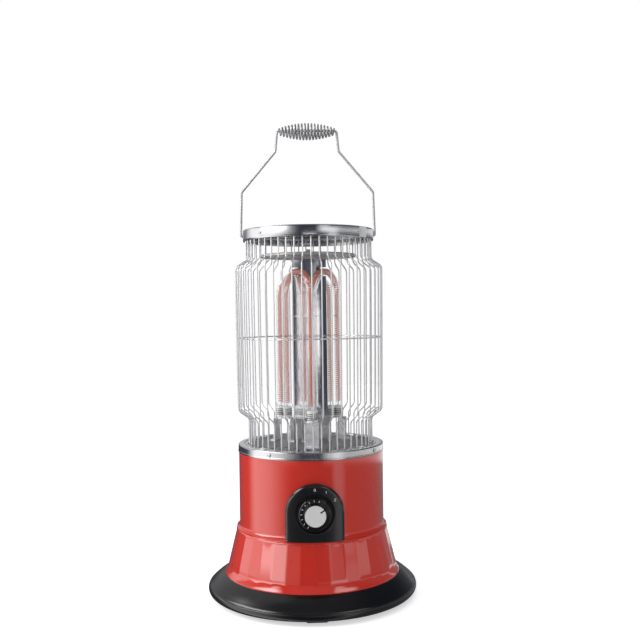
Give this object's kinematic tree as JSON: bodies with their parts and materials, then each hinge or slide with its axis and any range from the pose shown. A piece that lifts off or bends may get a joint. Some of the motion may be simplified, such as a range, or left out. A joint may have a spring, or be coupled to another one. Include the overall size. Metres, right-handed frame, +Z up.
{
  "type": "carbon heater",
  "caption": "Free-standing carbon heater: U-shaped lamps round a reflector in a round wire guard, on a drum and flared base with a rotary switch, under a swinging bail handle.",
  "frame": {"origin": "on the floor, under the centre of the base ring", "axes": "+Z up along the axis of the heater; the front, with the knob, faces -Y; +X is to the right of someone who looks at the front"},
  "size_m": [0.33, 0.33, 0.7475],
  "materials": {
    "rubber": "matt black rubber",
    "black_moulding": "satin black moulded plastic",
    "red_paint": "gloss red powder paint on steel",
    "stainless": "polished stainless sheet with a fine brushed grain",
    "bright_wire": "bright plated steel wire",
    "dark_spring_wire": "dark plated spring wire",
    "zinc_steel": "zinc plated steel",
    "grey_plate": "grey enamelled steel",
    "mirror_reflector": "polished aluminium reflector",
    "quartz_glass": "clear quartz glass",
    "carbon": "spiral carbon filament with a salmon glow",
    "white_ceramic": "white ceramic",
    "silver_face": "satin silver",
    "switch_plastic": "dark moulded plastic"
  },
  "bodies": {
    "heater": {"base_ring": "black_moulding", "base_screws": "zinc_steel", "bottom_plate": "zinc_steel", "cage_clips": "bright_wire", "cap_band": "stainless", "cap_brackets": "zinc_steel", "cap_lid": "stainless", "cap_screws": "zinc_steel", "carbon_filament_front": "carbon", "carbon_filament_left": "carbon", "carbon_filament_right": "carbon", "ceramic_holders": "white_ceramic", "chassis_pan": "zinc_steel", "collar_ring": "stainless", "collar_screws": "zinc_steel", "column_cap": "mirror_reflector", "control_panel": "black_moulding", "cord_bush": "black_moulding", "drum_shell": "red_paint", "floor_plate": "grey_plate", "guard_hoops": "bright_wire", "guard_wires": "bright_wire", "holder_shelves": "zinc_steel", "lamp_leads": "zinc_steel", "lamp_tube_front": "quartz_glass", "lamp_tube_left": "quartz_glass", "lamp_tube_right": "quartz_glass", "panel_screws": "zinc_steel", "reflector_column": "mirror_reflector", "rod_nuts": "zinc_steel", "rotary_switch": "switch_plastic", "rubber_feet": "rubber", "skirt": "red_paint", "switch_nut": "zinc_steel", "terminal_block": "white_ceramic", "thermal_cutout": "switch_plastic", "tie_rod": "zinc_steel", "tilt_switch": "switch_plastic", "tube_clips": "zinc_steel", "upper_reflector": "mirror_reflector"},
    "knob": {"switch_shaft": "zinc_steel", "knob_skirt": "black_moulding", "knob_face": "silver_face"},
    "bail": {"bail_handle": "bright_wire", "handle_retainers": "bright_wire", "grip_coil": "dark_spring_wire"}
  },
  "joints": [
    {"name": "bail_swing", "type": "hinge", "parent": "heater", "child": "bail", "pos_m": [0, 0, 0.5672], "axis": [1, 0, 0], "range_deg": [-115, 115]},
    {"name": "knob_turn", "type": "hinge", "parent": "heater", "child": "knob", "pos_m": [0, -0.12, 0.1496], "axis": [0, -1, 0], "range_deg": [0, 57]}
  ]
}
